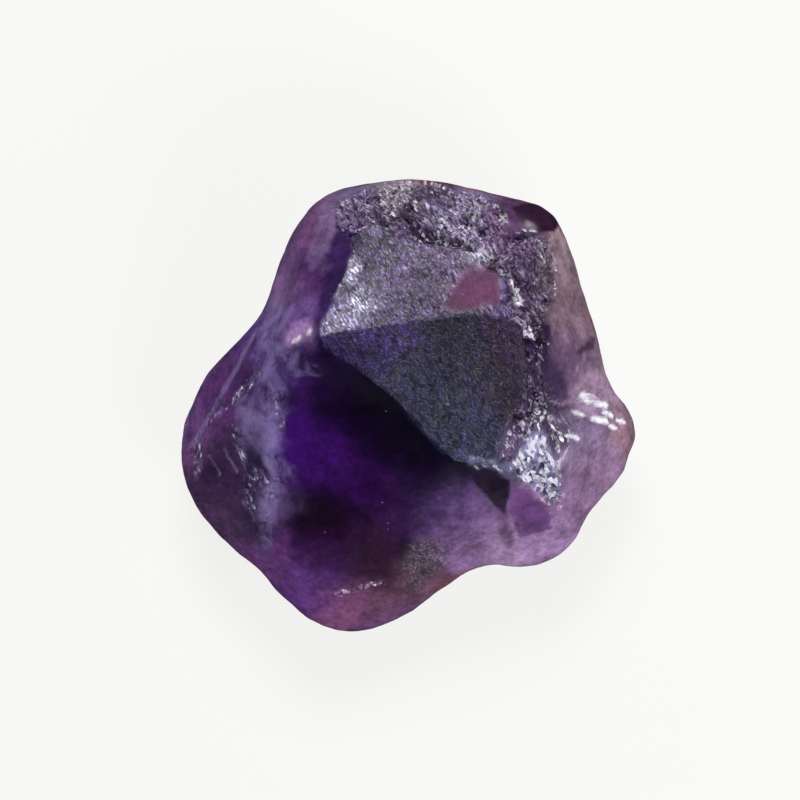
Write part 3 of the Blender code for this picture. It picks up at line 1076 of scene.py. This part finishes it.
@dataclass(frozen=True)
class AmethystFinish:
    """Amethyst, which is violet quartz: vitreous where it broke, satin where solutions etched it.

    Attributes:
        ior: Quartz bends light by 1.544, which gives its glassy 4.6 per cent reflection.
        polish: Roughness of a fresh break.
        satin: What etching adds to the roughness.
        etch: An etch mark of the frosted face. Real ones are about half as wide, too fine to show.
        grain: A mark of the duller crown face.
        crossing: A mark there that lies across the others.
        splinter: The smallest splinter of a knocked edge.
        chip: A blocky chip that flashes.
        gains: How dark and how bright each pattern makes the violet.
        zoning: The size in mm of the cloudy growth zones and of the wisps.
        inclusions: The size in mm of the finest clouding.
        specks: The mean distance in mm between pale specks.
        frost: How high the etch marks stand, in mm.
        cloudiness: How much of the light scatters under the surface, from 0 to 1.
        depth: How far it scatters there, in mm.
        wisp: The colour of a healed crack.
        flash: The colour painted on a chip that would mirror a lamp, a painted highlight.
        speck: The colour of a tiny inclusion.
    """

    ior: float = 1.544
    polish: float = 0.2
    satin: float = 0.3
    etch: Mark = Mark(0.7, 0.18, cut=(0.46, 0.62))
    grain: Mark = Mark(0.5, 0.17, cut=(0.5, 0.66))
    crossing: Mark = Mark(0.5, 0.17, -15.0, (0.54, 0.7))
    splinter: Mark = Mark(0.75, 0.24, cut=(0.42, 0.64))
    chip: Mark = Mark(0.8, 0.38)
    gains: tuple[Point, ...] = ((0.3, 2.1), (0.5, 2.5), (0.35, 1.9), (0.4, 1.6))
    zoning: float = 2.4
    inclusions: float = 0.5
    specks: float = 1.9
    frost: float = 0.05
    cloudiness: float = 0.3
    depth: float = 0.8
    wisp: str = "#9686bc"
    flash: str = "#eae6f6"
    speck: str = "#9c86b4"

    def material(self) -> bpy.types.Material:
        """Builds the finish as a material.

        Returns:
            The material, which reads the stone's own attributes.
        """
        made = bpy.data.materials.new("amethyst_quartz")
        made.use_nodes = True
        made.node_tree.nodes.clear()
        put = partial(add_node, made.node_tree)
        coords = put("TexCoord", output="Object")
        places = put("VectorMath", {0: coords, 1: (1 / MM, 1 / MM, 1 / MM)}, operation="MULTIPLY")
        tint = put("Attribute", output="Color", attribute_name="tint")
        names = (*SHARES, "milky")
        shares = {name: put("Attribute", output="Fac", attribute_name=name) for name in names}
        kinds = (self.etch, self.grain, self.crossing, self.splinter)
        etch, grain, crossing, splinters = (self.marks(put, places, mark) for mark in kinds)
        grain = put("Math", {0: grain, 1: crossing}, operation="MAXIMUM")
        small, large = (self.chips(put, places, mark) for mark in (self.splinter, self.chip))
        chips = put("Mix", {0: shares["blocky"], 6: small, 7: large}, **COLOURS)
        shine = put("SeparateColor", {0: chips}, output=0)
        shade = put("SeparateColor", {0: chips}, output=1)

        body = self.mottled(put, places, tint)
        patterns = {"etched": etch, "dulled": grain, "splintered": splinters, "shaded": shade}
        for (name, pattern), span in zip(patterns.items(), self.gains, strict=True):
            body = self.gain(put, body, pattern, shares[name], span)
        veil = self.veil(put, places, shares["milky"])
        body = put("Mix", {0: veil, 6: body, 7: linear(self.wisp)}, **COLOURS)
        # Painted highlight: chips over the glinting threshold take the flash colour, standing in for
        # chips that mirror a lamp.
        bright = put("Math", {0: shine, 1: shares["glinting"]}, operation="ADD")
        bright = put("MapRange", {0: bright, 1: 1.0, 2: 1.25})
        body = put("Mix", {0: bright, 6: body, 7: linear(self.flash)}, **COLOURS)

        rough = put("Math", {0: shares["satin"], 1: self.satin, 2: self.polish}, operation="MULTIPLY_ADD")
        height = put("Math", {0: etch, 1: shares["etched"]}, operation="MULTIPLY")
        height = put("Math", {0: grain, 1: shares["dulled"], 2: height}, operation="MULTIPLY_ADD")
        tilted = self.tilted(put, chips, shares["leaning"])
        links = {"Strength": 0.8, "Distance": self.frost * MM, "Height": height, "Normal": tilted}
        surface = put(
            "BsdfPrincipled",
            {
                "Base Color": body,
                "Roughness": rough,
                "Normal": put("Bump", links),
                "IOR": self.ior,
                "Subsurface Weight": self.cloudiness,
                "Subsurface Radius": (1.0, 0.9, 1.0),
                "Subsurface Scale": self.depth * MM,
            },
        )
        put("OutputMaterial", {"Surface": surface})
        return made

    def marks(self, put: Put, places: Socket, mark: Mark) -> Socket:
        """Draws short marks that all lie one way.

        Args:
            put: Adds a node to the material.
            places: The surface's places in mm.
            mark: The kind of mark.

        Returns:
            A value of 0 between the marks to 1 on them.
        """
        links = {"Vector": mark.along(put, places), "Scale": 1.0, "Detail": 2.0, "Roughness": 0.55}
        return put("MapRange", {0: put("TexNoise", links), 1: mark.cut[0], 2: mark.cut[1]})

    def chips(self, put: Put, places: Socket, mark: Mark) -> Socket:
        """Divides the surface into chips, each with a random colour that stands for its tilt."""
        links = {"Vector": mark.along(put, places), "Scale": 1.0, "Randomness": 0.9}
        return put("TexVoronoi", links, output="Color", distance="CHEBYCHEV")

    def mottled(self, put: Put, places: Socket, tint: Socket) -> Socket:
        """Makes the violet uneven with growth zones, inclusions and a few pale specks.

        Args:
            put: Adds a node to the material.
            places: The surface's places in mm.
            tint: The violet.

        Returns:
            The new colour.
        """
        links = {"Vector": places, "Scale": 1 / self.zoning, "Detail": 6.0, "Roughness": 0.66}
        cloudy = put("MapRange", {0: put("TexNoise", links), 1: 0.3, 2: 0.7, 3: 0.55, 4: 1.5})
        body = put("Mix", {0: 1.0, 6: tint, 7: cloudy}, **GAINED)
        links = {"Vector": places, "Scale": 1 / self.inclusions, "Detail": 3.0, "Roughness": 0.7}
        fine = put("MapRange", {0: put("TexNoise", links), 1: 0.3, 2: 0.7, 3: 0.72, 4: 1.32})
        body = put("Mix", {0: 1.0, 6: body, 7: fine}, **GAINED)
        links = {"Vector": places, "Scale": 1 / self.specks, "Randomness": 1.0}
        near = put("TexVoronoi", links, output="Distance")
        speck = put("MapRange", {0: near, 1: 0.03, 2: 0.06, 3: 0.55, 4: 0.0})
        return put("Mix", {0: speck, 6: body, 7: linear(self.speck)}, **COLOURS)

    def gain(
        self, put: Put, body: Socket, pattern: Socket, share: Socket, span: tuple[float, float]
    ) -> Socket:
        """Brightens and darkens the body by a pattern, where its share is high.

        Args:
            put: Adds a node to the material.
            body: The colour so far.
            pattern: A value of 0 to 1.
            share: How much the pattern counts here.
            span: The gain at a pattern of 0 and of 1.

        Returns:
            The new colour.
        """
        gained = put("MapRange", {0: pattern, 3: span[0], 4: span[1]})
        part = put("Mix", {0: share, 2: 1.0, 3: gained})
        return put("Mix", {0: 1.0, 6: body, 7: part}, **GAINED)

    def veil(self, put: Put, places: Socket, share: Socket) -> Socket:
        """Draws the wisps of a healed crack, whose tiny bubbles scatter pale light.

        Args:
            put: Adds a node to the material.
            places: The surface's places in mm.
            share: How far each place is in a veil.

        Returns:
            How much of the surface the wisps hide, from 0 to 1.
        """
        links = {"Vector": places, "Scale": 1 / self.zoning, "Detail": 8.0, "Roughness": 0.7}
        torn = put("TexNoise", {**links, "Distortion": 0.5})
        wisps = put("MapRange", {0: torn, 1: 0.4, 2: 0.68})
        return put("Math", {0: wisps, 1: share}, operation="MULTIPLY")

    def tilted(self, put: Put, chips: Socket, share: Socket) -> Socket:
        """Tilts the surface by each chip's own amount, so that some mirror a lamp and some the dark room.

        Args:
            put: Adds a node to the material.
            chips: Each chip's random colour.
            share: How far the chips tilt.

        Returns:
            The tilted normal.
        """
        lean = put("VectorMath", {0: chips, 1: (0.5, 0.5, 0.5)}, operation="SUBTRACT")
        lean = put("VectorMath", {0: lean, "Scale": share}, operation="SCALE")
        level = put("NewGeometry", output="Normal")
        leaning = put("VectorMath", {0: level, 1: lean}, operation="ADD")
        return put("VectorMath", {0: leaning}, operation="NORMALIZE")


# -------------------- the studio


@dataclass(frozen=True)
class Softbox:
    """One lamp of the studio, which looks at the stone.

    Attributes:
        name: What it is called.
        azimuth: The direction that it stands in, in degrees from east towards north.
        elevation: Its height above the horizon, in degrees.
        distance: How far away it is, in mm.
        width: Its width in mm.
        height: Its height in mm.
        power: Its power in watts.
    """

    name: str
    azimuth: float
    elevation: float
    distance: float
    width: float
    height: float
    power: float

    def place(self, target: Vector) -> None:
        """Sets the lamp up.

        Args:
            target: Where it looks.
        """
        lamp = bpy.data.lights.new(self.name, "AREA")
        lamp.shape = "RECTANGLE"
        lamp.size = self.width * MM
        lamp.size_y = self.height * MM
        lamp.energy = self.power
        stand = bpy.data.objects.new(self.name, lamp)
        way = Vector(outward(self.azimuth, 90 - self.elevation))
        stand.location = target + way * self.distance * MM
        stand.rotation_euler = way.to_track_quat("Z", "Y").to_euler()
        stand.visible_camera = False
        bpy.context.scene.collection.objects.link(stand)


@dataclass
class Studio:
    """A pale table, soft lamps around it and a camera that looks straight down on the stone.

    Attributes:
        lens: Focal length in mm.
        eye: Where the camera is, in mm.
        aim: The height in mm that the lamps look at.
        table_width: How wide the table is, in mm.
        glow: How strongly the table is lit from below.
        horizon: Between which heights, as sines, the room turns pale.
        overhead: Between which it turns dark again.
    """

    lens: float = 100.0
    eye: tuple[float, float, float] = (-0.73, 0.63, 230.5)
    aim: float = 12.0
    table_width: float = 4000.0
    glow: float = 0.84
    horizon: tuple[float, float] = (-0.05, 0.1)
    overhead: tuple[float, float] = (0.15, 0.5)
    lamps: tuple[Softbox, ...] = (
        Softbox("north window", 92, 47, 300, 130, 110, 0.7),
        Softbox("south east window", 305, 40, 300, 120, 120, 0.4),
        Softbox("south east strip", 328, 24, 300, 110, 50, 0.16),
    )

    def build(self) -> None:
        """Sets up the table, the lamps, the surroundings and the camera."""
        self.table()
        for lamp in self.lamps:
            lamp.place(Vector((0, 0, self.aim * MM)))
        self.surroundings()
        self.camera()

    def table(self) -> None:
        """Lays a wide table top of white acrylic, lit from below, which gives an even pale ground."""
        bpy.ops.object.select_all(action="DESELECT")
        bpy.ops.mesh.primitive_plane_add(size=self.table_width * MM, location=(0, 0, 0))
        top = bpy.context.object
        top.name = "pale_table"
        acrylic = bpy.data.materials.new("lit_white_acrylic")
        acrylic.use_nodes = True
        shader = acrylic.node_tree.nodes["Principled BSDF"]
        shader.inputs["Base Color"].default_value = linear("#6c6c6b")
        shader.inputs["Roughness"].default_value = 0.9
        shader.inputs["Specular IOR Level"].default_value = 0.0
        shader.inputs["Emission Color"].default_value = linear("#fbfbf9")
        shader.inputs["Emission Strength"].default_value = self.glow
        top.data.materials.append(acrylic)
        top.visible_glossy = False

    def surroundings(self) -> None:
        """Makes the room pale near the horizon and dark overhead, so that the level faces stay deep."""
        world = bpy.data.worlds.new("quiet room")
        world.use_nodes = True
        bpy.context.scene.world = world
        tree = world.node_tree
        tree.nodes.clear()
        way = add_node(tree, "TexCoord", output="Generated")
        up = add_node(tree, "SeparateXYZ", {0: way}, output=2)
        pale_from, pale_to = self.horizon
        dark_from, dark_to = self.overhead
        low = add_node(tree, "MapRange", {0: up, 1: pale_from, 2: pale_to})
        high = add_node(tree, "MapRange", {0: up, 1: dark_from, 2: dark_to, 3: 1.0, 4: 0.0})
        share = add_node(tree, "Math", {0: low, 1: high}, operation="MULTIPLY")
        links = {0: share, 6: linear("#292b38"), 7: linear("#5e5f68")}
        shade = add_node(tree, "Mix", links, **COLOURS)
        light = add_node(tree, "Background", {0: shade, 1: 1.0})
        add_node(tree, "OutputWorld", {0: light})

    def camera(self) -> None:
        """Hangs the camera above the stone, looking down with north at the top of its view."""
        lens = bpy.data.cameras.new("overhead")
        lens.lens = self.lens
        lens.sensor_width = 36.0
        lens.clip_start = 0.01
        eye = bpy.data.objects.new("overhead", lens)
        eye.location = Vector(self.eye) * MM
        bpy.context.scene.collection.objects.link(eye)
        bpy.context.scene.camera = eye
        bpy.context.scene.view_settings.view_transform = "Standard"


def main() -> None:
    """Builds the stone and its studio, and reports each piece."""
    logging.basicConfig(level=logging.INFO, format="%(name)s: %(message)s")
    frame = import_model()
    stone = Stone()
    piece = stone.build(frame["nodes"][stone.node])
    piece.data.materials.clear()
    piece.data.materials.append(AmethystFinish().material())
    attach(piece, "root")
    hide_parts(stone.node)
    log.info("%s has %d faces", piece.name, len(piece.data.polygons))
    Studio().build()
    log.info("the studio is set up")


if __name__ == "__main__":
    main()
